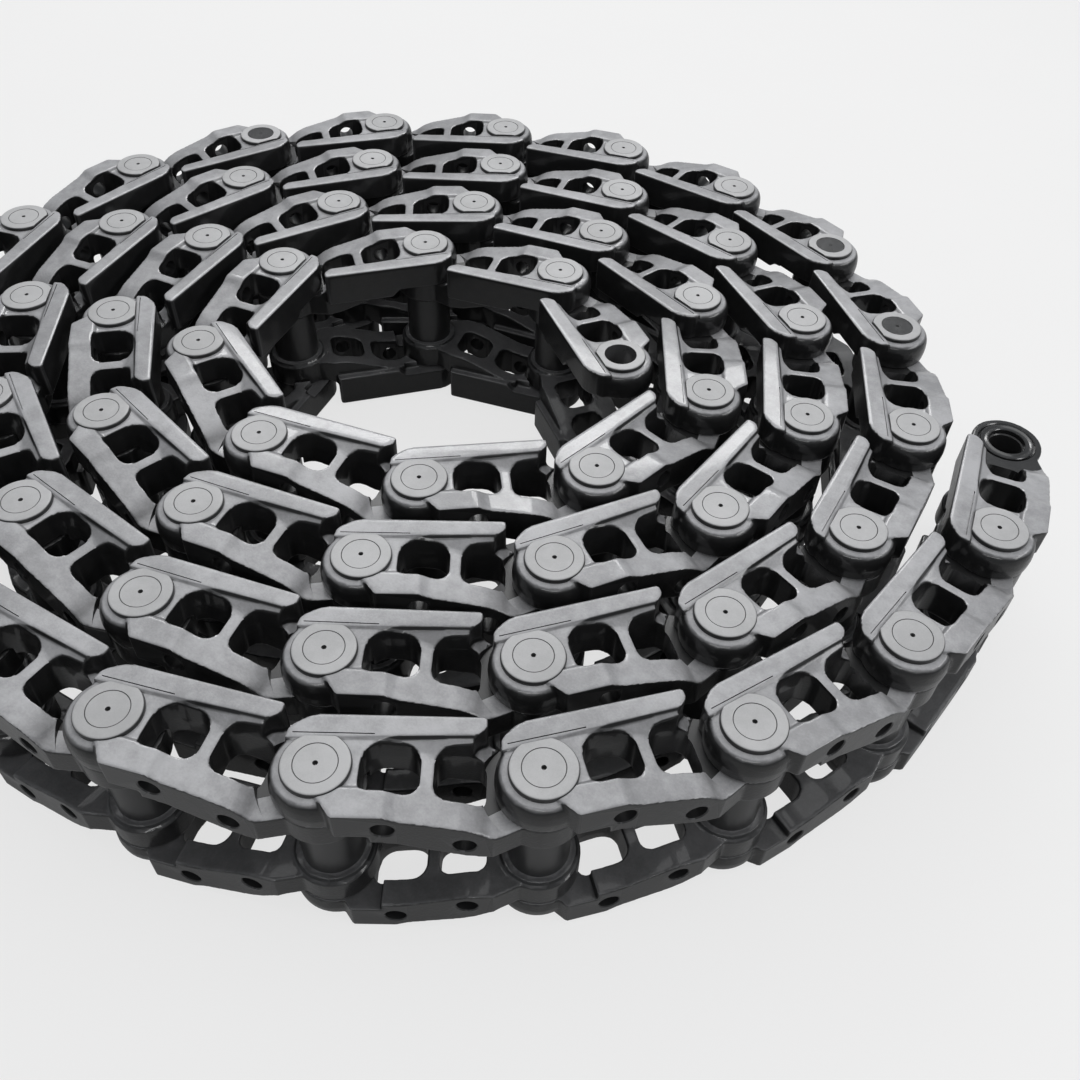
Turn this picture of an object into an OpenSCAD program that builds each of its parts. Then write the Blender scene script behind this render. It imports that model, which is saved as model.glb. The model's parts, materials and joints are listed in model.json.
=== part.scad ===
// Excavator track chain, coiled on its side for transport.
// Sections of two forged links, a pressed pin, a pressed bush and two seal rings
// hinge on each other from the free outer end to the inner end.
// Millimetres. Z is up, the coil rests on its lower pin bosses at Z = 0.

/* [Chain] */
// number of sections in the chain
sections = 56; // [24:1:56]
// distance between neighbouring pins
pitch = 190; // [175:1:216]
// chain width over the pin ends
width = 216; // [208:1:230]

/* [Coil] */
// radius of the coil at its inner end
inner_radius = 194; // [180:1:260]
// how far apart the windings lie, pin to pin
turn_step = 116; // [114:1:150]
// how much the coil is pulled oval
oval = 30; // [0:1:36]
// direction in which the coil is widest, from its inner end
oval_turn = 4; // [0:1:180]

/* [Pin and bush] */
// pin diameter
pin_diameter = 38; // [34:0.5:40]
// bush outside diameter
bush_diameter = 59; // [56:0.5:61]
// bush length
bush_length = 132; // [126:1:134]
// radial gap in which a pin turns inside a bush
running_gap = 0.1; // [0.05:0.01:0.1]
// radial gap left in the pressed seats
seat_gap = 0.05; // [0.03:0.01:0.08]
// diameter of the centre mark in each pin end
centre_mark = 4; // [2:0.5:6]
// thickness of a seal ring
seal_depth = 5.8; // [4:0.1:7]
// gap over and under a seal ring
seal_gap = 0.1; // [0.05:0.05:0.3]

/* [Link] */
// rail surface above the pin axis
rail_height = 50; // [46:1:52]
// shoe face below the pin axis
shoe_drop = 48; // [46:1:50]
// thickness of the flange under the shoe face
flange_depth = 26; // [22:1:28]
// width of the raised rail strip
rail_band = 19; // [16:1:20]
// radius of the link end around the pin
pin_eye_radius = 38; // [36:0.5:39]
// radius of the link end around the bush
bush_eye_radius = 40; // [38:0.5:41]
// radius of the raised boss around the pin
boss_radius = 30.5; // [27:0.5:33]
// height of the boss above the plate
boss_rise = 5; // [3:0.5:7]
// thickness of the link end around the pin
pin_eye_depth = 36; // [33:0.5:38]
// thickness of the link end around the bush
bush_eye_depth = 31; // [28:0.5:33]
// gap between neighbouring link ends
side_gap = 1; // [0.6:0.1:2]

/* [Shoe bolts] */
// bolt hole diameter
bolt_diameter = 20; // [16:0.5:22]
// first bolt hole from the pin axis
bolt_start = 58.5; // [54:0.5:63]
// distance between the two bolt holes of a link
bolt_spacing = 67; // [62:0.5:70]
// bolt spacing across the chain at the pin end
bolt_span_pin = 168; // [162:1:172]
// bolt spacing across the chain at the bush end
bolt_span_bush = 120; // [112:1:126]

/* [Hidden] */
$fn = 96;
half = width / 2;
// heights above the middle plane of the chain
plate_face = half - boss_rise;
rail_face = half - 2;
pin_eye_face = half - pin_eye_depth;
bush_eye_face = pin_eye_face - side_gap;
bush_eye_back = bush_eye_face - bush_eye_depth;
collar_back = bush_eye_back - 4;
bush_end = bush_length / 2;
body_back = pin_eye_face - 10;
// distances along the link from the pin axis
rail_end = pitch - 48;
shoe_start = 17;
shoe_end = pitch - 40;
pad_end = bolt_start - 1;
knee = bolt_start + bolt_spacing + 5;
window_start = pin_eye_radius - 2;
bridge = (bolt_start + bolt_spacing / 2);
bridge_width = 12;
window_end = pitch - 40;
turning_radius = 53;
window_low = flange_depth - shoe_drop;
window_high = rail_height - rail_band - 9;
pin_radius = pin_diameter / 2;
bush_radius = bush_diameter / 2;
// room around a seal ring, and how far it reaches
seal_room = bush_radius + 3;
seal_seat = bush_end + seal_depth + 2 * seal_gap;

// the coil: pin axes one pitch apart along a spiral, from the inner end outwards
function coil_radius(a) = inner_radius + turn_step * a / 360 + oval * cos(2 * (a - oval_turn));
function coil_point(a) = coil_radius(a) * [cos(a), sin(a)];
function closer(a, d, n) = n == 0 ? d : closer(a, d * pitch / norm(coil_point(a + d) - coil_point(a)), n - 1);
function next_angle(a) = a + closer(a, pitch / coil_radius(a) * 180 / PI, 40);
angles = [for (i = 0, a = 0; i <= sections; i = i + 1, a = next_angle(a)) a];
spiral = [for (a = angles) coil_point(a)];
// the outermost section is turned to lie along Y, with its shoe face towards +X
last = spiral[sections] - spiral[sections - 1];
turn = 90 - atan2(last.y, last.x);
turned = [for (p = spiral) [p.x * cos(turn) - p.y * sin(turn), p.x * sin(turn) + p.y * cos(turn)]];
// the corners and round ends of a link that can touch the coil's box: [x, y, radius]
reach = [
  [0, 0, pin_eye_radius],
  [pitch, 0, bush_eye_radius],
  [shoe_start, -shoe_drop, 0],
  [shoe_end, -shoe_drop, 0],
];
function heading(a, b) = atan2(b.y - a.y, b.x - a.x);
function corner(a, h, c) = [a.x + c.x * cos(h) - c.y * sin(h), a.y + c.x * sin(h) + c.y * cos(h)];
corners = [
  for (i = [0 : sections - 1])
    let (h = heading(turned[i], turned[i + 1]))
      for (c = reach) [corner(turned[i], h, c), c[2]]
];
low = [min([for (c = corners) c[0].x - c[1]]), min([for (c = corners) c[0].y - c[1]])];
high = [max([for (c = corners) c[0].x + c[1]]), max([for (c = corners) c[0].y + c[1]])];
// pin axes counted from the free outer end, about the middle of the coil's box
pins = [for (i = [sections : -1 : 0]) turned[i] - (low + high) / 2];

function two_digits(k) = k < 10 ? str("0", k) : str(k);
function section_name(k) = str("section_", two_digits(k));

// a rectangle with round corners
module rounded(x0, x1, y0, y1, r) {
  translate([x0 + r, y0])
    square([x1 - x0 - 2 * r, y1 - y0]);
  translate([x0, y0 + r])
    square([x1 - x0, y1 - y0 - 2 * r]);
  for (x = [x0 + r, x1 - r])
    for (y = [y0 + r, y1 - r])
      translate([x, y])
        circle(r);
}

// the two openings over the nut seats
module windows() {
  rounded(window_start, bridge - bridge_width / 2, window_low, window_high, 13);
  difference() {
    rounded(bridge + bridge_width / 2, window_end + 6, window_low, window_high + 4, 11);
    translate([pitch, 0])
      circle(bush_eye_radius + 5);
  }
}

// pushes an outline in X and Z through the whole depth of a link
module sideways() {
  depth = 2 * (rail_height + shoe_drop);
  translate([0, depth / 2, 0])
    rotate([90, 0, 0])
      linear_extrude(depth)
        children();
}

// web between pin end and bush end, stepping inwards towards the bush
module web() {
  intersection() {
    translate([0, 0, bush_eye_back])
      linear_extrude(half)
        difference() {
          polygon([
            [0, -34],
            [40, -34],
            [pitch - 20, -bush_eye_radius + 3],
            [pitch, -bush_eye_radius + 6],
            [pitch, bush_eye_radius - 6],
            [pitch - 24, bush_eye_radius - 7],
            [rail_end, rail_height - 10],
            [0, rail_height - 10],
          ]);
          windows();
        }
    sideways()
      polygon([
        [-1, pin_eye_face],
        [pin_eye_radius + 8, pin_eye_face],
        [pin_eye_radius + 8, body_back],
        [bolt_start + 6, body_back],
        [knee, bush_eye_back],
        [pitch + 1, bush_eye_back],
        [pitch + 1, bush_eye_face],
        [shoe_end, bush_eye_face],
        [knee, plate_face - 17],
        [pad_end + 10, plate_face - 3],
        [pad_end, plate_face],
        [-1, plate_face],
      ]);
  }
}

// flange under the shoe face, with the raised pad near the pin
module flange() {
  intersection() {
    translate([0, 0, bush_eye_back])
      linear_extrude(half)
        difference() {
          polygon([
            [2, -28],
            [shoe_start, -shoe_drop],
            [shoe_end, -shoe_drop],
            [pitch - 16, -bush_eye_radius + 3.5],
            [pitch - 16, window_low + 2],
            [2, window_low + 2],
          ]);
          windows();
        }
    sideways()
      polygon([
        [0, pin_eye_face],
        [pin_eye_radius + 8, pin_eye_face],
        [pin_eye_radius + 8, body_back],
        [bolt_start + 6, body_back],
        [knee, bush_eye_back],
        [pitch, bush_eye_back],
        [pitch, bush_eye_face],
        [shoe_end, bush_eye_face],
        [knee, plate_face - 17],
        [pad_end + 10, plate_face - 3],
        [pad_end, rail_face],
        [0, rail_face],
      ]);
  }
}

// rail strip on which the rollers run, and the foot that carries it beside the windows
module rail() {
  rail_low = rail_height - rail_band;
  intersection() {
    translate([0, 0, body_back])
      union() {
        linear_extrude(rail_face - body_back)
          polygon([
            [-8, rail_height],
            [rail_end, rail_height],
            [rail_end, rail_height - 11],
            [rail_end - 9, rail_low],
            [-28, rail_low],
            [-28, rail_height - 14],
          ]);
        linear_extrude(plate_face - body_back)
          difference() {
            polygon([
              [0, window_high - 1],
              [rail_end - 14, window_high - 1],
              [rail_end - 9, rail_low + 1],
              [0, rail_low + 1],
            ]);
            windows();
          }
      }
    sideways()
      polygon([
        [-40, pin_eye_face],
        [pin_eye_radius + 8, pin_eye_face],
        [pin_eye_radius + 18, body_back],
        [pitch, body_back],
        [pitch, half],
        [-40, half],
      ]);
  }
}

// link end around the pin: skirt, shoulder and raised boss with a flat towards the rail
module pin_eye() {
  difference() {
    rotate_extrude()
      polygon([
        [0, pin_eye_face],
        [pin_eye_radius, pin_eye_face],
        [pin_eye_radius, plate_face - 7],
        [boss_radius + 2, plate_face],
        [boss_radius, plate_face],
        [boss_radius, half],
        [0, half],
      ]);
    translate([-boss_radius, boss_radius - 4.5, plate_face])
      cube([2 * boss_radius, 20, boss_rise + 1]);
  }
}

// link end around the bush, with a collar on the inside
module bush_eye() {
  translate([pitch, 0, 0])
    rotate_extrude()
      polygon([
        [0, collar_back],
        [bush_eye_radius - 4, collar_back],
        [bush_eye_radius - 4, bush_eye_back],
        [bush_eye_radius, bush_eye_back],
        [bush_eye_radius, bush_eye_face],
        [0, bush_eye_face],
      ]);
}

module bolt_hole(x, span) {
  translate([x, window_low + 1, span / 2])
    rotate([90, 0, 0])
      cylinder(h = flange_depth + 2, d = bolt_diameter);
}

// one forged link, drawn for the upper side of the chain
module link() {
  difference() {
    union() {
      web();
      flange();
      rail();
      pin_eye();
      bush_eye();
    }
    // room for the neighbouring link end to swing in
    translate([pitch, 0, bush_eye_face])
      cylinder(h = half, r = turning_radius);
    translate([0, 0, pin_eye_face - half])
      cylinder(h = half, r = bush_eye_radius + 3);
    // pin seat, bush seat and the room for the seal at both link ends
    cylinder(h = width, r = pin_radius + seat_gap);
    translate([pitch, 0, 0])
      cylinder(h = width, r = bush_radius + seat_gap);
    translate([pitch, 0, bush_end])
      cylinder(h = half, r = seal_room);
    cylinder(h = seal_seat, r = seal_room);
    bolt_hole(bolt_start, bolt_span_pin);
    bolt_hole(bolt_start + bolt_spacing, bolt_span_bush);
  }
}

module upper_link() {
  color("DimGray")
    link();
}

module lower_link() {
  color("DimGray")
    mirror([0, 0, 1])
      link();
}

// pin pressed into both pin ends, with a centre mark in each face
module pin() {
  color("Gray")
    difference() {
      translate([0, 0, -half])
        cylinder(h = width, r = pin_radius);
      for (z = [-half, half])
        translate([0, 0, z])
          cylinder(h = 5, d = centre_mark, center = true);
    }
}

// bush pressed into both bush ends
module bush() {
  color("SlateGray")
    translate([pitch, 0, -bush_end])
      difference() {
        cylinder(h = bush_length, r = bush_radius);
        translate([0, 0, -1])
          cylinder(h = bush_length + 2, r = pin_radius + running_gap);
      }
}

// rings that seal the bush ends against the neighbouring link ends
module seal_rings() {
  color("DarkSlateGray")
    for (side = [0, 1])
      mirror([0, 0, side])
        translate([pitch, 0, bush_end + seal_gap])
          difference() {
            cylinder(h = seal_depth, r = bush_radius + 1);
            translate([0, 0, -1])
              cylinder(h = seal_depth + 2, r = pin_radius + 2);
          }
}

// puts a section at its place in the coil, from its pin to its bush
module at(k) {
  translate([pins[k].x, pins[k].y, half])
    rotate([0, 0, heading(pins[k], pins[k - 1])])
      children();
}

module upper_link_01() {
  at(1)
    upper_link();
}

module lower_link_01() {
  at(1)
    lower_link();
}

module pin_01() {
  at(1)
    pin();
}

module bush_01() {
  at(1)
    bush();
}

module seal_rings_01() {
  at(1)
    seal_rings();
}

// every further section; the innermost one waits for the master pin
module section(k) {
  at(k) {
    upper_link();
    lower_link();
    bush();
    seal_rings();
    if (k < sections)
      pin();
  }
}

upper_link_01();
lower_link_01();
pin_01();
bush_01();
seal_rings_01();
for (k = [2 : sections])
  section(k);
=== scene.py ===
"""Looks of a coiled excavator track chain: forged links, pins, bushes and seal rings."""

import json
import math

import bpy
from mathutils import Matrix, Vector

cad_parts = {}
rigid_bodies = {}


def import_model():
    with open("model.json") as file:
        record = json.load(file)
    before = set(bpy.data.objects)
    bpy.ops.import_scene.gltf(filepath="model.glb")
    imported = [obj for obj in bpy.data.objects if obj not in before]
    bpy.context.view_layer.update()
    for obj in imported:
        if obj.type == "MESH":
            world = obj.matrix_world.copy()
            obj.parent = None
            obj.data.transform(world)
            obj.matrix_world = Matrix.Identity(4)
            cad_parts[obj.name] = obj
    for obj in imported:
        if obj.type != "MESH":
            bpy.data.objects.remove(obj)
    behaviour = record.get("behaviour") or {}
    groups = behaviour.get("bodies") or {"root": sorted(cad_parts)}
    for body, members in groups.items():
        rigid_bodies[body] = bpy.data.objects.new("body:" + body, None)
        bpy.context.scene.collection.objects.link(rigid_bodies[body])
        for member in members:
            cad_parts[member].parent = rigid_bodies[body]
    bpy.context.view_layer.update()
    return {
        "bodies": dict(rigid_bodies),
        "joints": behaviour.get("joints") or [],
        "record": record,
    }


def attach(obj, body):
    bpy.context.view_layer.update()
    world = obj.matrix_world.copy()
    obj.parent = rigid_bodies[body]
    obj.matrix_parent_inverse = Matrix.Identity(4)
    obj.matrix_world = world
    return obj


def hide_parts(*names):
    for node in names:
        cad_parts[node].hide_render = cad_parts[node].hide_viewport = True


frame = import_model()
bpy.ops.object.select_all(action="DESELECT")

MM = 0.001

# The chain, from the frame: pin axes counted from the free outer end to the inner end
SECTIONS = len(frame["bodies"])
MOUNTS = {mount["name"]: Vector(mount["pos_m"]) for mount in frame["record"]["mounts"]}
HINGES = {joint["child"]: Vector(joint["pos_m"]) for joint in frame["joints"]}
PIN_AXES = [MOUNTS["outer_bush_bore"]]
PIN_AXES += [HINGES[f"track_section_{k:02d}"] for k in range(1, SECTIONS)]
PIN_AXES += [MOUNTS["inner_pin_bore"]]
PITCH = round((PIN_AXES[1] - PIN_AXES[0]).length, 4)
HALF = PIN_AXES[0].z

# Heights of a link above the middle plane of the chain
BOSS_FACE = HALF
PLATE_FACE = HALF - 5 * MM
RAIL_FACE = HALF - 2 * MM
PIN_EYE_FACE = HALF - 36 * MM
BUSH_EYE_FACE = PIN_EYE_FACE - 1 * MM
BUSH_EYE_BACK = BUSH_EYE_FACE - 31 * MM
COLLAR_BACK = BUSH_EYE_BACK - 4 * MM
BODY_BACK = PIN_EYE_FACE - 10 * MM
BUSH_END = 66 * MM
# Across and along a link, from its pin axis
RAIL_TOP = 50 * MM
RAIL_FOOT = 31 * MM
SHOE_FACE = -48 * MM
NUT_SEAT = -22 * MM
RAIL_END = PITCH - 48 * MM
SHOE_START = 17 * MM
SHOE_END = PITCH - 40 * MM
PAD_END = 57.5 * MM
KNEE = 130.5 * MM
BRIDGE = (86 * MM, 98 * MM)
WINDOW_END = PITCH - 48 * MM
# Round parts
PIN_R = 19 * MM
PIN_SEAT_R = 19.05 * MM
BUSH_R = 29.5 * MM
BUSH_SEAT_R = 29.55 * MM
BUSH_BORE_R = 19.1 * MM
SEAL_ROOM_R = 32.5 * MM
PIN_EYE_R = 38 * MM
BUSH_EYE_R = 40 * MM
BOSS_R = 30.5 * MM
BOSS_FLAT = 26 * MM
TURNING_R = 53 * MM
BOLT_R = 10 * MM
BOLTS = ((58.5 * MM, 84 * MM), (125.5 * MM, 60 * MM))
SEAL_R = (21 * MM, 30.5 * MM)
SEAL_Z = (66.1 * MM, 71.9 * MM)

# Forging and meshing
GRAIN = 1.5 * MM
ROUNDING_PASSES = 9
LINK_TRIANGLES = 5200
SPIN_STEPS = 48
FINE_STEPS = 64
TINY = 0.01 * MM
# How far trimming blocks reach past a link's ends, and to each side of it
PAST_ENDS = 50 * MM
PAST_SIDES = 90 * MM

# Studio and the photograph's camera, in metres, degrees and pixels
WORLD_LIGHT = 0.2
FLOOR_R = 9
FLOOR_HEIGHT = -0.4 * MM
LAMP_TARGET = Vector((0, 0, 0.1))
CAMERA_PLACE = (0.4729, -0.8959, 0.9846)
CAMERA_YAW = 20.904
CAMERA_TILT = 47.400
CAMERA_LEAN = 2.916
FOCAL_PIXELS = 1044.67
PHOTO_PIXELS = 1080
SENSOR_MM = 36

# Sections whose pin ends were touched up with gloss paint
TOUCHED_UP = (13, 18, 19)


# Modelling

def use(obj):
    """Makes one object the selected, active one."""
    bpy.ops.object.select_all(action="DESELECT")
    obj.select_set(True)
    bpy.context.view_layer.objects.active = obj


def draw(name, points):
    """Starts a piece as one point and draws its line from there, and stays in edit mode."""
    bpy.ops.object.select_all(action="DESELECT")
    bpy.ops.mesh.primitive_plane_add(size=MM, location=(0, 0, 0))
    obj = bpy.context.object
    obj.name = name
    bpy.ops.object.mode_set(mode="EDIT")
    bpy.ops.mesh.merge(type="CENTER")
    bpy.ops.transform.translate(value=points[0])
    for here, there in zip(points, points[1:]):
        bpy.ops.mesh.extrude_vertices_move(TRANSFORM_OT_translate={"value": there - here})
    bpy.ops.mesh.select_all(action="SELECT")
    return obj


def pick(obj, test):
    """Selects the points of a piece that pass a test, in edit mode."""
    bpy.ops.mesh.select_mode(type="VERT")
    bpy.ops.mesh.select_all(action="DESELECT")
    bpy.ops.object.mode_set(mode="OBJECT")
    for vertex in obj.data.vertices:
        vertex.select = test(vertex.co)
    bpy.ops.object.mode_set(mode="EDIT")


def close_up():
    """Merges doubles, turns the faces outwards and leaves edit mode."""
    bpy.ops.mesh.select_all(action="SELECT")
    bpy.ops.mesh.remove_doubles(threshold=TINY)
    bpy.ops.mesh.normals_make_consistent(inside=False)
    bpy.ops.object.mode_set(mode="OBJECT")


def plate(name, outline, low, high, across=False):
    """A plate: an outline of (u, v, corner radius), filled and pulled from low to high.

    It lies flat, or with across its outline stands in X and Z and it is pulled along Y.
    """
    def at(u, v, w):
        return Vector((u, w, v)) if across else Vector((u, v, w))

    obj = draw(name, [at(u, v, low) for u, v, _ in outline])
    bpy.ops.mesh.edge_face_add()
    for u, v, radius in outline:
        if radius:
            corner = at(u, v, low)
            pick(obj, lambda co: (co - corner).length < TINY)
            bpy.ops.mesh.bevel(affect="VERTICES", offset=radius, segments=6)
    bpy.ops.mesh.select_all(action="SELECT")
    pull = at(0, 0, high) - at(0, 0, low)
    bpy.ops.mesh.extrude_region_move(TRANSFORM_OT_translate={"value": pull})
    close_up()
    return obj


def flare(obj, test, shift):
    """Shifts the points of a piece that pass a test, as the draft of a forging die leans a wall."""
    use(obj)
    bpy.ops.object.mode_set(mode="EDIT")
    pick(obj, test)
    bpy.ops.transform.translate(value=shift)
    bpy.ops.object.mode_set(mode="OBJECT")


def turned(name, profile, centre=0.0, steps=SPIN_STEPS):
    """A turned piece: its profile of (radius, height), spun round an upright axis."""
    obj = draw(name, [Vector((centre + radius, 0, height)) for radius, height in profile])
    bpy.ops.mesh.spin(steps=steps, angle=math.tau, center=(centre, 0, 0), axis=(0, 0, 1))
    close_up()
    return obj


def combine(base, tool, operation):
    """Joins, cuts or trims a piece with another, which is used up."""
    change = base.modifiers.new("combine", "BOOLEAN")
    change.operation = operation
    change.object = tool
    change.solver = "MANIFOLD"
    use(base)
    bpy.ops.object.modifier_apply(modifier=change.name)
    bpy.data.objects.remove(tool)
    return base


def add(base, *tools):
    """Joins pieces to a base."""
    for tool in tools:
        combine(base, tool, "UNION")
    return base


def cut(base, *tools):
    """Cuts pieces out of a base."""
    for tool in tools:
        combine(base, tool, "DIFFERENCE")
    return base


def finish_with(obj, kind, **settings):
    """Adds one modifier and applies it."""
    change = obj.modifiers.new("finish", kind)
    for name, value in settings.items():
        setattr(change, name, value)
    use(obj)
    bpy.ops.object.modifier_apply(modifier=change.name)


def clean(obj):
    """Merges the slivers that cuts leave, and turns all faces outwards."""
    use(obj)
    bpy.ops.object.mode_set(mode="EDIT")
    close_up()
    return obj


def smooth(obj, angle=math.radians(32)):
    """Soft shading over rounded skin, with crisp machined edges."""
    use(obj)
    bpy.ops.object.shade_smooth_by_angle(angle=angle)
    finish_with(obj, "WEIGHTED_NORMAL", keep_sharp=True)
    return obj


# The forged link

def link_side(name, high_start, high_end):
    """A wide block with the side view of a link, to which its web and flange are trimmed."""
    outline = [
        (-PAST_ENDS, PIN_EYE_FACE, 0),
        (PIN_EYE_R + 8 * MM, PIN_EYE_FACE, 0),
        (PIN_EYE_R + 8 * MM, BODY_BACK, 0),
        (64.5 * MM, BODY_BACK, 12 * MM),
        (KNEE, BUSH_EYE_BACK, 12 * MM),
        (PITCH + PAST_ENDS, BUSH_EYE_BACK, 0),
        (PITCH + PAST_ENDS, BUSH_EYE_FACE, 0),
        (SHOE_END, BUSH_EYE_FACE, 9 * MM),
        (KNEE, PLATE_FACE - 17 * MM, 14 * MM),
        (PAD_END + 11 * MM, high_end, 4 * MM),
        (PAD_END, high_start, 4 * MM),
        (-PAST_ENDS, high_start, 0),
    ]
    return plate(name, outline, -PAST_SIDES, PAST_SIDES, across=True)


def link_web():
    """The web between the two eyes, stepping inwards towards the bush."""
    outline = [
        (0, -34 * MM, 0),
        (40 * MM, -34 * MM, 0),
        (PITCH - 20 * MM, -37 * MM, 0),
        (PITCH, -34 * MM, 0),
        (PITCH, 34 * MM, 0),
        (PITCH - 24 * MM, 33 * MM, 0),
        (RAIL_END, 40 * MM, 0),
        (0, 40 * MM, 0),
    ]
    web = plate("web", outline, BUSH_EYE_BACK, HALF)
    return combine(web, link_side("web_side", PLATE_FACE, PLATE_FACE - 3 * MM), "INTERSECT")


def link_flange():
    """The flange under the shoe face, with its raised pad near the pin."""
    outline = [
        (2 * MM, -28 * MM, 0),
        (SHOE_START, SHOE_FACE, 0),
        (SHOE_END, SHOE_FACE, 0),
        (PITCH - 16 * MM, -36.5 * MM, 0),
        (PITCH - 16 * MM, NUT_SEAT + 2 * MM, 0),
        (2 * MM, NUT_SEAT + 2 * MM, 0),
    ]
    flange = plate("flange", outline, BUSH_EYE_BACK, HALF)
    return combine(flange, link_side("flange_side", RAIL_FACE, PLATE_FACE - 3 * MM), "INTERSECT")


def link_rail():
    """The strip on which the rollers run, with slanted ends."""
    outline = [
        (-10 * MM, RAIL_TOP, 9 * MM),
        (RAIL_END, RAIL_TOP, 4 * MM),
        (RAIL_END, RAIL_TOP - 11 * MM, 4 * MM),
        (RAIL_END - 9 * MM, RAIL_FOOT, 0),
        (-30 * MM, RAIL_FOOT - 6 * MM, 0),
        (-30 * MM, RAIL_TOP - 14 * MM, 7 * MM),
    ]
    rail = plate("rail", outline, BODY_BACK, RAIL_FACE)
    back = [
        (-PAST_ENDS, PIN_EYE_FACE, 0),
        (PIN_EYE_R + 8 * MM, PIN_EYE_FACE, 0),
        (PIN_EYE_R + 18 * MM, BODY_BACK, 0),
        (PITCH, BODY_BACK, 0),
        (PITCH, HALF, 0),
        (-PAST_ENDS, HALF, 0),
    ]
    combine(rail, plate("rail_back", back, -PAST_SIDES, PAST_SIDES, across=True), "INTERSECT")
    use(rail)
    bpy.ops.object.mode_set(mode="EDIT")
    pick(rail, lambda co: co.y > RAIL_TOP - TINY and co.z > RAIL_FACE - TINY)
    bpy.ops.mesh.bevel(affect="EDGES", offset=6 * MM, segments=5)
    close_up()
    return rail


def rail_foot():
    """The band between the windows and the rail strip, falling a little towards the windows."""
    inner = 14 * MM
    outline = [
        (0, inner, 0),
        (RAIL_END - 16 * MM, inner, 0),
        (RAIL_END - 9 * MM, RAIL_FOOT + 2 * MM, 0),
        (0, RAIL_FOOT + 2 * MM, 0),
    ]
    foot = plate("rail_foot", outline, BODY_BACK, PLATE_FACE + MM)
    flare(foot, lambda co: co.z > PLATE_FACE and co.y < RAIL_FOOT, (0, 0, -10 * MM))
    return foot


def pin_eye():
    """The link end around the pin, with a rounded shoulder."""
    return turned("pin_eye", [
        (0, PIN_EYE_FACE),
        (PIN_EYE_R + 3 * MM, PIN_EYE_FACE),
        (PIN_EYE_R + 4 * MM, PLATE_FACE - 18 * MM),
        (PIN_EYE_R + 3 * MM, PLATE_FACE - 9 * MM),
        (PIN_EYE_R + 1 * MM, PLATE_FACE - 4 * MM),
        (PIN_EYE_R - 2 * MM, PLATE_FACE - 1 * MM),
        (BOSS_R, PLATE_FACE),
        (0, PLATE_FACE),
    ])


def bush_eye():
    """The link end around the bush, with a collar on its inner side."""
    return turned("bush_eye", [
        (0, COLLAR_BACK),
        (BUSH_EYE_R - 4 * MM, COLLAR_BACK),
        (BUSH_EYE_R - 4 * MM, BUSH_EYE_BACK),
        (BUSH_EYE_R, BUSH_EYE_BACK),
        (BUSH_EYE_R, BUSH_EYE_FACE),
        (0, BUSH_EYE_FACE),
    ], centre=PITCH)


def nut_windows():
    """Cutters for the two openings over the nut seats, flared towards the rail."""
    draft_start = HALF - 24 * MM
    above = HALF + 10 * MM
    below = COLLAR_BACK - 10 * MM
    near = [
        (PIN_EYE_R - 2 * MM, NUT_SEAT, 9 * MM),
        (BRIDGE[0], NUT_SEAT, 13 * MM),
        (BRIDGE[0], 22 * MM, 15 * MM),
        (PIN_EYE_R - 2 * MM, 22 * MM, 20 * MM),
    ]
    far = [
        (BRIDGE[1], NUT_SEAT, 12 * MM),
        (WINDOW_END, NUT_SEAT, 10 * MM),
        (WINDOW_END, 24 * MM, 12 * MM),
        (BRIDGE[1], 20 * MM, 13 * MM),
    ]
    cutters = []
    for name, outline in (("near_window", near), ("far_window", far)):
        cutters.append(plate(name, outline, below, above))
        draft = plate(name + "_draft", outline, draft_start, above)
        flare(draft, lambda co: co.z > HALF and co.y > 8 * MM, (0, 6 * MM, 0))
        cutters.append(draft)
    return cutters


def boss():
    """The machined boss around the pin, with its flat towards the rail."""
    rim = 2.6 * MM
    body = turned("boss", [
        (0, PLATE_FACE - 9 * MM),
        (BOSS_R, PLATE_FACE - 9 * MM),
        (BOSS_R, BOSS_FACE - rim),
        (BOSS_R - 0.1 * rim, BOSS_FACE - 0.6 * rim),
        (BOSS_R - 0.3 * rim, BOSS_FACE - 0.3 * rim),
        (BOSS_R - 0.6 * rim, BOSS_FACE - 0.1 * rim),
        (BOSS_R - rim, BOSS_FACE),
        (0, BOSS_FACE),
    ], steps=FINE_STEPS)
    side = [
        (-BOSS_R, BOSS_FLAT, 0),
        (BOSS_R, BOSS_FLAT, 0),
        (BOSS_R, 2 * BOSS_R, 0),
        (-BOSS_R, 2 * BOSS_R, 0),
    ]
    return cut(body, plate("boss_flat", side, PLATE_FACE - 20 * MM, BOSS_FACE + MM))


def pin_seat():
    """A cutter for the bore that holds the pin, with chamfered mouths."""
    bevel = 0.4 * MM
    return turned("pin_seat", [
        (0, 0),
        (PIN_SEAT_R + bevel, 0),
        (PIN_SEAT_R + bevel, PIN_EYE_FACE),
        (PIN_SEAT_R, PIN_EYE_FACE + bevel),
        (PIN_SEAT_R, BOSS_FACE - bevel),
        (PIN_SEAT_R + bevel, BOSS_FACE),
        (PIN_SEAT_R + bevel, BOSS_FACE + MM),
        (0, BOSS_FACE + MM),
    ], steps=FINE_STEPS)


def bush_seat():
    """A cutter for the bore that holds the bush, and the wider room of the seal over it."""
    bevel = 1 * MM
    return turned("bush_seat", [
        (0, 0),
        (BUSH_SEAT_R, 0),
        (BUSH_SEAT_R, BUSH_END),
        (SEAL_ROOM_R, BUSH_END),
        (SEAL_ROOM_R, BUSH_EYE_FACE - bevel),
        (SEAL_ROOM_R + bevel, BUSH_EYE_FACE),
        (SEAL_ROOM_R + bevel, HALF),
        (0, HALF),
    ], centre=PITCH, steps=FINE_STEPS)


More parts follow.
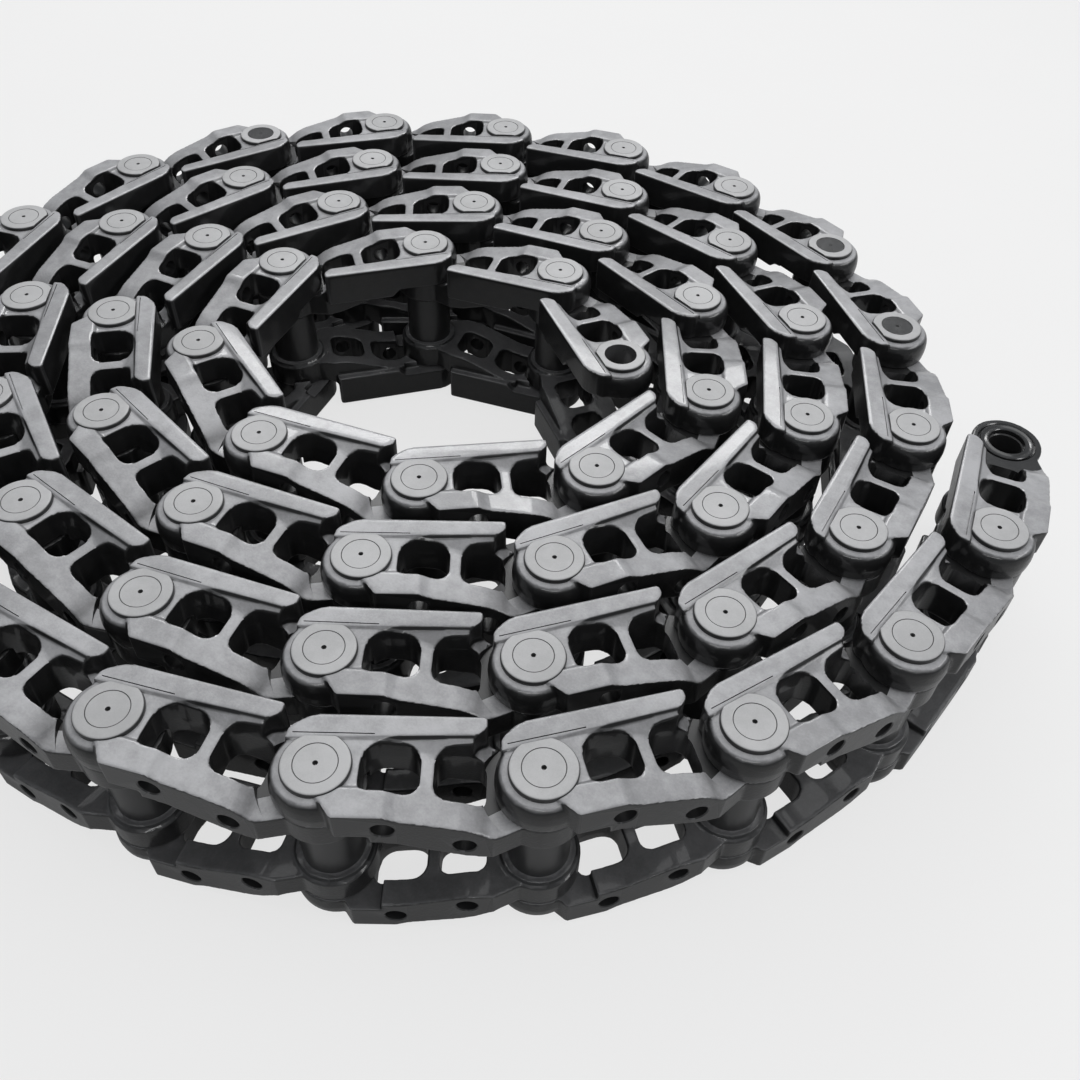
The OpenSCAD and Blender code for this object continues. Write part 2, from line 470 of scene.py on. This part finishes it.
def swing_room():
    """Cutters for the room in which the neighbouring link ends swing."""
    lean = 8 * MM
    over_bush = turned("over_bush", [
        (0, BUSH_EYE_FACE),
        (TURNING_R, BUSH_EYE_FACE),
        (TURNING_R + lean, HALF + MM),
        (0, HALF + MM),
    ], centre=PITCH)
    under_pin_r = BUSH_EYE_R + 3 * MM
    under_pin = turned("under_pin", [
        (0, COLLAR_BACK - MM),
        (under_pin_r, COLLAR_BACK - MM),
        (under_pin_r, PIN_EYE_FACE),
        (0, PIN_EYE_FACE),
    ])
    return over_bush, under_pin


def bolt_hole(along, height):
    """A cutter for a shoe bolt, through the flange into the window, with a chamfered mouth."""
    bevel = 1 * MM
    length = NUT_SEAT - SHOE_FACE + 2 * MM
    hole = turned("bolt_hole", [
        (0, -MM),
        (BOLT_R + bevel, -MM),
        (BOLT_R + bevel, 0),
        (BOLT_R, bevel),
        (BOLT_R, length),
        (0, length),
    ], steps=32)
    mouth = Matrix.Translation((along, SHOE_FACE, height))
    hole.data.transform(mouth @ Matrix.Rotation(-math.pi / 2, 4, "X"))
    return hole


def rail_groove():
    """A cutter for the fine groove between rail and boss."""
    width = 1 * MM
    low = RAIL_FOOT - width
    ends = (-24 * MM, 46 * MM)
    outline = [(ends[0], low, 0), (ends[1], low, 0), (ends[1], RAIL_FOOT, 0), (ends[0], RAIL_FOOT, 0)]
    return plate("rail_groove", outline, RAIL_FACE - 2 * MM, HALF)


def forged_link():
    """One link for the upper side of the chain, from its pin at the origin to its bush along X."""
    link = add(link_web(), link_flange(), link_rail(), rail_foot(), pin_eye(), bush_eye())
    cut(link, *nut_windows())
    finish_with(link, "REMESH", mode="VOXEL", voxel_size=GRAIN)
    finish_with(link, "SMOOTH", factor=0.5, iterations=ROUNDING_PASSES)
    triangles = sum(len(face.vertices) - 2 for face in link.data.polygons)
    finish_with(link, "DECIMATE", ratio=LINK_TRIANGLES / triangles)
    cut(link, *swing_room())
    add(link, boss())
    cut(link, pin_seat(), bush_seat(), rail_groove(), *[bolt_hole(*bolt) for bolt in BOLTS])
    return smooth(clean(link))


def mirrored(master, name):
    """The same link for the lower side of the chain."""
    other = master.copy()
    other.data = master.data.copy()
    other.name = name
    bpy.context.collection.objects.link(other)
    other.data.transform(Matrix.Scale(-1, 4, (0, 0, 1)))
    return smooth(clean(other))


# Pin, bush and seal rings

def track_pin():
    """A pin with chamfered ends and a drilled centre mark in each face."""
    bevel = 0.5 * MM
    end = HALF - 0.15 * MM
    half_profile = [
        (0, end - 4 * MM),
        (1 * MM, end - 3 * MM),
        (1.6 * MM, end - 1 * MM),
        (2.4 * MM, end),
        (PIN_R - bevel, end),
        (PIN_R, end - bevel),
    ]
    profile = half_profile + [(radius, -height) for radius, height in reversed(half_profile)]
    return smooth(turned("pin", profile, steps=FINE_STEPS))


def track_bush():
    """A hollow bush with chamfered ends."""
    bevel = 1.2 * MM
    profile = [
        (BUSH_BORE_R + bevel, BUSH_END),
        (BUSH_R - bevel, BUSH_END),
        (BUSH_R, BUSH_END - bevel),
        (BUSH_R, -BUSH_END + bevel),
        (BUSH_R - bevel, -BUSH_END),
        (BUSH_BORE_R + bevel, -BUSH_END),
        (BUSH_BORE_R, -BUSH_END + bevel),
        (BUSH_BORE_R, BUSH_END - bevel),
    ]
    return smooth(turned("bush", profile + profile[:1], centre=PITCH, steps=FINE_STEPS))


def seal_rings():
    """The two rings that close the gap over the bush ends, each with a moulded lip."""
    edge = 0.8 * MM
    inner, outer = SEAL_R
    low, high = SEAL_Z
    lip = (inner + outer) / 2
    profile = [
        (inner, low + edge),
        (inner + edge, low),
        (outer - edge, low),
        (outer, low + edge),
        (outer, high - edge),
        (outer - edge, high),
        (lip + 2 * edge, high),
        (lip, high - edge),
        (lip - 2 * edge, high),
        (inner + edge, high),
        (inner, high - edge),
    ]
    rings = turned("seal_rings", profile + profile[:1], centre=PITCH)
    other = turned("lower_ring", [(r, -z) for r, z in profile + profile[:1]], centre=PITCH)
    use(rings)
    other.select_set(True)
    bpy.ops.object.join()
    return smooth(rings)


# Finishes

class Wire:
    """One value of a finish; arithmetic on it adds Math nodes."""

    def __init__(self, finish, socket):
        self.finish = finish
        self.socket = socket

    def maths(self, operation, first, second):
        return self.finish.node("ShaderNodeMath", {"operation": operation}, {0: first, 1: second})

    def __add__(self, other):
        return self.maths("ADD", self, other)

    def __sub__(self, other):
        return self.maths("SUBTRACT", self, other)

    def __rsub__(self, other):
        return self.maths("SUBTRACT", other, self)

    def __mul__(self, other):
        return self.maths("MULTIPLY", self, other)

    __radd__ = __add__
    __rmul__ = __mul__


class Nodes:
    """A node tree under construction."""

    def __init__(self, tree):
        self.tree = tree

    def node(self, kind, settings=None, inputs=None, output=0):
        """Adds a node of any kind: its settings first, then its values and links."""
        made = self.tree.nodes.new(kind)
        for name, value in (settings or {}).items():
            setattr(made, name, value)
        for key, value in (inputs or {}).items():
            self.feed(made.inputs[key], value)
        return Wire(self, made.outputs[output])

    def feed(self, socket, value):
        """Links a value to a socket, or sets the socket to a plain number or colour."""
        if isinstance(value, Wire):
            self.tree.links.new(value.socket, socket)
        else:
            socket.default_value = value

    def sight(self, camera_share, mirrored_share):
        """How much of a ray's view is the plain white that the camera and reflections see."""
        path = "ShaderNodeLightPath"
        mirrored = self.node(path, output="Is Glossy Ray") + self.node(path, output="Is Transmission Ray")
        return self.node(path, output="Is Camera Ray") * camera_share + mirrored * mirrored_share


class Finish(Nodes):
    """A material under construction, with its Principled shader."""

    def __init__(self, name):
        self.material = bpy.data.materials.new(name)
        self.material.use_nodes = True
        super().__init__(self.material.node_tree)
        self.shader = self.tree.nodes["Principled BSDF"]

    def set(self, **values):
        """Feeds sockets of the shader, named with _ for a space."""
        for name, value in values.items():
            self.feed(self.shader.inputs[name.replace("_", " ")], value)

    def place(self):
        """The point on the piece, in its own coordinates."""
        return self.node("ShaderNodeTexCoord", output="Object")

    def noise(self, scale, detail=2.0, roughness=0.5):
        """Cloudy variation over the piece."""
        inputs = {"Vector": self.place(), "Scale": scale, "Detail": detail, "Roughness": roughness}
        return self.node("ShaderNodeTexNoise", None, inputs, "Fac")

    def between(self, value, low, high, to_low=0.0, to_high=1.0):
        """A value stretched from one span to another, with soft ends."""
        inputs = {"Value": value, "From Min": low, "From Max": high, "To Min": to_low, "To Max": to_high}
        return self.node("ShaderNodeMapRange", {"interpolation_type": "SMOOTHSTEP"}, inputs)

    def mix(self, share, first, second):
        """A blend of two colours."""
        return self.node("ShaderNodeMix", {"data_type": "RGBA"}, {0: share, 6: first, 7: second}, 2)

    def painted_sky_sheen(self):
        """Painted sheen: how far a face looks up, weaker in the lower row, which is painted shade under
        the upper row.
        """
        normal = self.node("ShaderNodeNewGeometry", output="Normal")
        up = self.between(self.node("ShaderNodeSeparateXYZ", None, {0: normal}, "Z"), 0.58, 0.98)
        height = self.node("ShaderNodeSeparateXYZ", None, {0: self.place()}, "Z")
        # Painted shade: the lower row keeps only 0.22 of the sheen, as it lies under the upper row.
        return up * self.between(height, 0.8 * HALF, 1.6 * HALF, 0.22, 1.0)

    def edges(self):
        """How sharp an outer edge is here."""
        return self.between(self.node("ShaderNodeNewGeometry", output="Pointiness"), 0.515, 0.59)

    def whiten(self, camera_share, mirrored_share):
        """Mixes in plain white for what the camera and reflections see, which lights nothing."""
        white = self.node("ShaderNodeEmission", None, {"Color": (1, 1, 1, 1), "Strength": 1.0})
        plain = Wire(self, self.shader.outputs[0])
        share = self.sight(camera_share, mirrored_share)
        mixed = self.node("ShaderNodeMixShader", None, {0: share, 1: plain, 2: white})
        self.feed(self.tree.nodes["Material Output"].inputs["Surface"], mixed)

    def bump(self, height, strength, distance):
        """Fine relief for the Normal socket."""
        inputs = {"Strength": strength, "Distance": distance, "Height": height}
        return self.node("ShaderNodeBump", None, inputs)


def grey(level, blue=1.03):
    """A slightly cool grey."""
    return (level, level, level * blue, 1)


def forged_paint():
    """Satin black paint over forged skin, with a painted sheen of pale grey where faces look up and
    painted highlights on sharp edges.
    """
    paint = Finish("forged_black_paint")
    cloud = paint.noise(8, 3)
    mottle = paint.noise(60, 4, 0.65)
    skin = paint.noise(420, 3, 0.6)
    patchy = paint.between(cloud + mottle * 0.7 + skin * 0.3, 0.7, 1.3, 0.6, 1.0)
    edges = paint.edges()
    tone = paint.mix(mottle, grey(0.009), grey(0.02))
    # Painted highlight: sharp outer edges are lightened towards grey 0.15, a painted glint along them.
    tone_with_painted_glints = paint.mix(edges * 0.8, tone, grey(0.15))
    # Painted sheen: faces that look up are mixed towards pale grey 0.43, a painted reflection of the sky
    # on the satin paint.
    paint.set(
        Base_Color=paint.mix(paint.painted_sky_sheen() * patchy, tone_with_painted_glints, grey(0.43)),
        Roughness=0.24 + mottle * 0.16 - edges * 0.06,
        IOR=1.32,
        Coat_Weight=0.45,
        Coat_Roughness=0.07,
        Normal=paint.bump(skin + mottle * 0.8, 0.3, 0.7 * MM),
    )
    return paint.material


def machined_paint():
    """The same paint, thin and smooth on turned and ground faces."""
    paint = Finish("machined_face_paint")
    cloud = paint.noise(9, 2)
    mottle = paint.noise(80, 3, 0.6)
    grain = paint.noise(900, 2)
    patchy = paint.between(cloud + mottle * 0.4 + grain * 0.3, 0.55, 1.1, 0.78, 1.0)
    tone = paint.mix(mottle, grey(0.012), grey(0.024))
    # Painted sheen: faces that look up are mixed towards pale grey 0.47, a painted reflection of the sky.
    paint.set(
        Base_Color=paint.mix(paint.painted_sky_sheen() * patchy, tone, grey(0.47, 1.01)),
        Roughness=0.36 + mottle * 0.10,
        IOR=1.4,
        Normal=paint.bump(mottle + grain * 0.5, 0.12, 0.4 * MM),
    )
    return paint.material


def gloss_paint():
    """Fresh gloss paint on touched-up ends."""
    paint = Finish("fresh_gloss_paint")
    brush = paint.noise(60, 4, 0.6)
    paint.set(
        Base_Color=paint.mix(brush, grey(0.012), grey(0.022)),
        Roughness=0.16 + brush * 0.16,
        IOR=1.55,
        Coat_Weight=0.5,
        Coat_Roughness=0.12,
        Normal=paint.bump(brush, 0.25, 0.6 * MM),
    )
    return paint.material


def bush_paint():
    """Thin black paint over turned steel."""
    paint = Finish("turned_black_paint")
    mottle = paint.noise(45, 4, 0.6)
    fine = paint.noise(500, 2)
    paint.set(
        Base_Color=paint.mix(mottle, grey(0.012), grey(0.026)),
        Roughness=0.26 + mottle * 0.16,
        IOR=1.5,
        Coat_Weight=0.2,
        Coat_Roughness=0.25,
        Normal=paint.bump(fine, 0.12, 0.3 * MM),
    )
    return paint.material


def seal_rubber():
    """Black rubber with a faint bloom."""
    rubber = Finish("black_seal_rubber")
    bloom = rubber.noise(120, 3, 0.6)
    rubber.set(
        Base_Color=rubber.mix(bloom, grey(0.011), grey(0.02)),
        Roughness=0.45 + bloom * 0.2,
        Normal=rubber.bump(bloom, 0.15, 0.3 * MM),
    )
    return rubber.material


# Assembly

def dress(obj, material, *others):
    """Gives a piece its finish, and others on the faces that pass their tests."""
    obj.data.materials.clear()
    obj.data.materials.append(material)
    for face in obj.data.polygons:
        face.material_index = 0
    for slot, (test, other) in enumerate(others, 1):
        obj.data.materials.append(other)
        for face in obj.data.polygons:
            if test(face):
                face.material_index = slot
    return obj


def paint_over(piece, pattern, test):
    """Gives gloss paint to the faces of a piece whose like on its pattern pass a test."""
    piece.data.materials.append(gloss)
    slot = len(piece.data.materials) - 1
    for face, like in zip(piece.data.polygons, pattern.data.polygons):
        if test(like):
            face.material_index = slot


def machined_face(face):
    """The flat top of the boss."""
    flat = abs(face.normal.z) > 0.6 and abs(face.center.z) > BOSS_FACE - 1.5 * MM
    return flat and face.center.xy.length < BOSS_R + MM


def hole_wall(face):
    """The walls of the bolt holes, which lie in shade: they get plain dark paint, a painted shade without
    the sheen.
    """
    spot = face.center
    for along, height in BOLTS:
        if math.hypot(spot.x - along, abs(spot.z) - height) < BOLT_R + 0.5 * MM:
            return spot.y < NUT_SEAT + MM
    return False


def swing_face(face):
    """The face of the bush end that lies in the shade of the next link end."""
    spot = face.center
    near = math.hypot(spot.x - PITCH, spot.y) < TURNING_R + 2 * MM and spot.y > NUT_SEAT
    return near and abs(spot.z) > BUSH_EYE_FACE - 4 * MM


def free_eye(face):
    """The bush end, which is bare only on the free outer section."""
    return math.hypot(face.center.x - PITCH, face.center.y) < TURNING_R and face.center.z > 0


def seat(k):
    """Where section k lies: its pin at its own axis, its bush at the next one outwards."""
    run = PIN_AXES[k - 1] - PIN_AXES[k]
    return Matrix.Translation(PIN_AXES[k]) @ Matrix.Rotation(math.atan2(run.y, run.x), 4, "Z")


def place(master, k, part):
    """Copies a piece into section k, on the body that carries it."""
    piece = master.copy()
    piece.data = master.data.copy()
    piece.name = f"section_{k:02d}_{part}"
    bpy.context.collection.objects.link(piece)
    piece.data.transform(seat(k))
    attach(piece, f"track_section_{k:02d}")
    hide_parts(f"{part}_01" if k == 1 else f"section_{k:02d}")
    return piece


forged, machined, gloss, bush_black = forged_paint(), machined_paint(), gloss_paint(), bush_paint()
upper = forged_link()
upper.name = "upper_link_pattern"
lower = mirrored(upper, "lower_link_pattern")
for pattern in (upper, lower):
    # Painted shade: the hole walls and the swing face take the plain dark bush paint, without the painted
    # sheen.
    dress(pattern, forged, (machined_face, machined), (hole_wall, bush_black), (swing_face, bush_black))
pin = dress(track_pin(), machined)
bush = dress(track_bush(), bush_black)
seals = dress(seal_rings(), seal_rubber())

for k in range(1, SECTIONS + 1):
    link = place(upper, k, "upper_link")
    place(lower, k, "lower_link")
    place(bush, k, "bush")
    rings = place(seals, k, "seal_rings")
    if k == 1:
        paint_over(link, upper, free_eye)
        rings.data.materials[0] = gloss
    if k < SECTIONS:
        end = place(pin, k, "pin")
        if k in TOUCHED_UP:
            end.data.materials[0] = gloss

for pattern in (upper, lower, pin, bush, seals):
    bpy.data.objects.remove(pattern)


# Floor, light and camera

def pale_floor():
    """A wide round floor just under the chain."""
    bpy.ops.object.select_all(action="DESELECT")
    centre = (0, 0, FLOOR_HEIGHT)
    bpy.ops.mesh.primitive_circle_add(vertices=96, radius=FLOOR_R, fill_type="NGON", location=centre)
    floor = bpy.context.object
    floor.name = "floor"
    surface = Finish("pale_floor")
    speckle = surface.noise(3, 2)
    surface.set(Base_Color=surface.mix(speckle, grey(0.50, 1.0), grey(0.54, 1.0)), Roughness=0.9)
    surface.whiten(0.72, 0.1)
    floor.data.materials.append(surface.material)


def softbox(name, location, size, power):
    """A large soft lamp that faces the coil."""
    lamp = bpy.data.lights.new(name, "AREA")
    lamp.shape = "RECTANGLE"
    lamp.size, lamp.size_y = size
    lamp.energy = power
    box = bpy.data.objects.new(name, lamp)
    box.location = location
    box.rotation_euler = (LAMP_TARGET - Vector(location)).to_track_quat("-Z", "Y").to_euler()
    bpy.context.scene.collection.objects.link(box)


def studio_world():
    """Even, slightly cool light from all round, which the camera sees as white."""
    world = bpy.data.worlds.new("studio")
    world.use_nodes = True
    nodes = Nodes(world.node_tree)
    background = world.node_tree.nodes["Background"]
    nodes.feed(background.inputs["Color"], (0.92, 0.96, 1, 1))
    nodes.feed(background.inputs["Strength"], nodes.sight(0.75, 0.1) + WORLD_LIGHT)
    bpy.context.scene.world = world


def photo_camera():
    """The camera of the photograph: its place, its turn to the left, its tilt down and its lean."""
    lens = bpy.data.cameras.new("camera")
    lens.sensor_width = SENSOR_MM
    lens.lens = SENSOR_MM * FOCAL_PIXELS / PHOTO_PIXELS
    lens.clip_start = 0.01
    turn_left = Matrix.Rotation(math.radians(CAMERA_YAW), 4, "Z")
    tilt_down = Matrix.Rotation(math.radians(90 - CAMERA_TILT), 4, "X")
    lean = Matrix.Rotation(math.radians(CAMERA_LEAN), 4, "Z")
    camera = bpy.data.objects.new("camera", lens)
    camera.matrix_world = Matrix.Translation(CAMERA_PLACE) @ turn_left @ tilt_down @ lean
    bpy.context.scene.collection.objects.link(camera)
    bpy.context.scene.camera = camera


pale_floor()
studio_world()
softbox("top_softbox", (-0.4, 0.9, 3.6), (4.5, 4.5), 85)
softbox("far_softbox", (-1.2, 3.0, 3.0), (3.2, 0.6), 60)
softbox("right_softbox", (3.0, 0.4, 2.0), (2.4, 0.7), 30)
softbox("front_softbox", (0.9, -2.7, 2.4), (2.6, 0.3), 20)
photo_camera()
bpy.context.scene.view_settings.view_transform = "Standard"
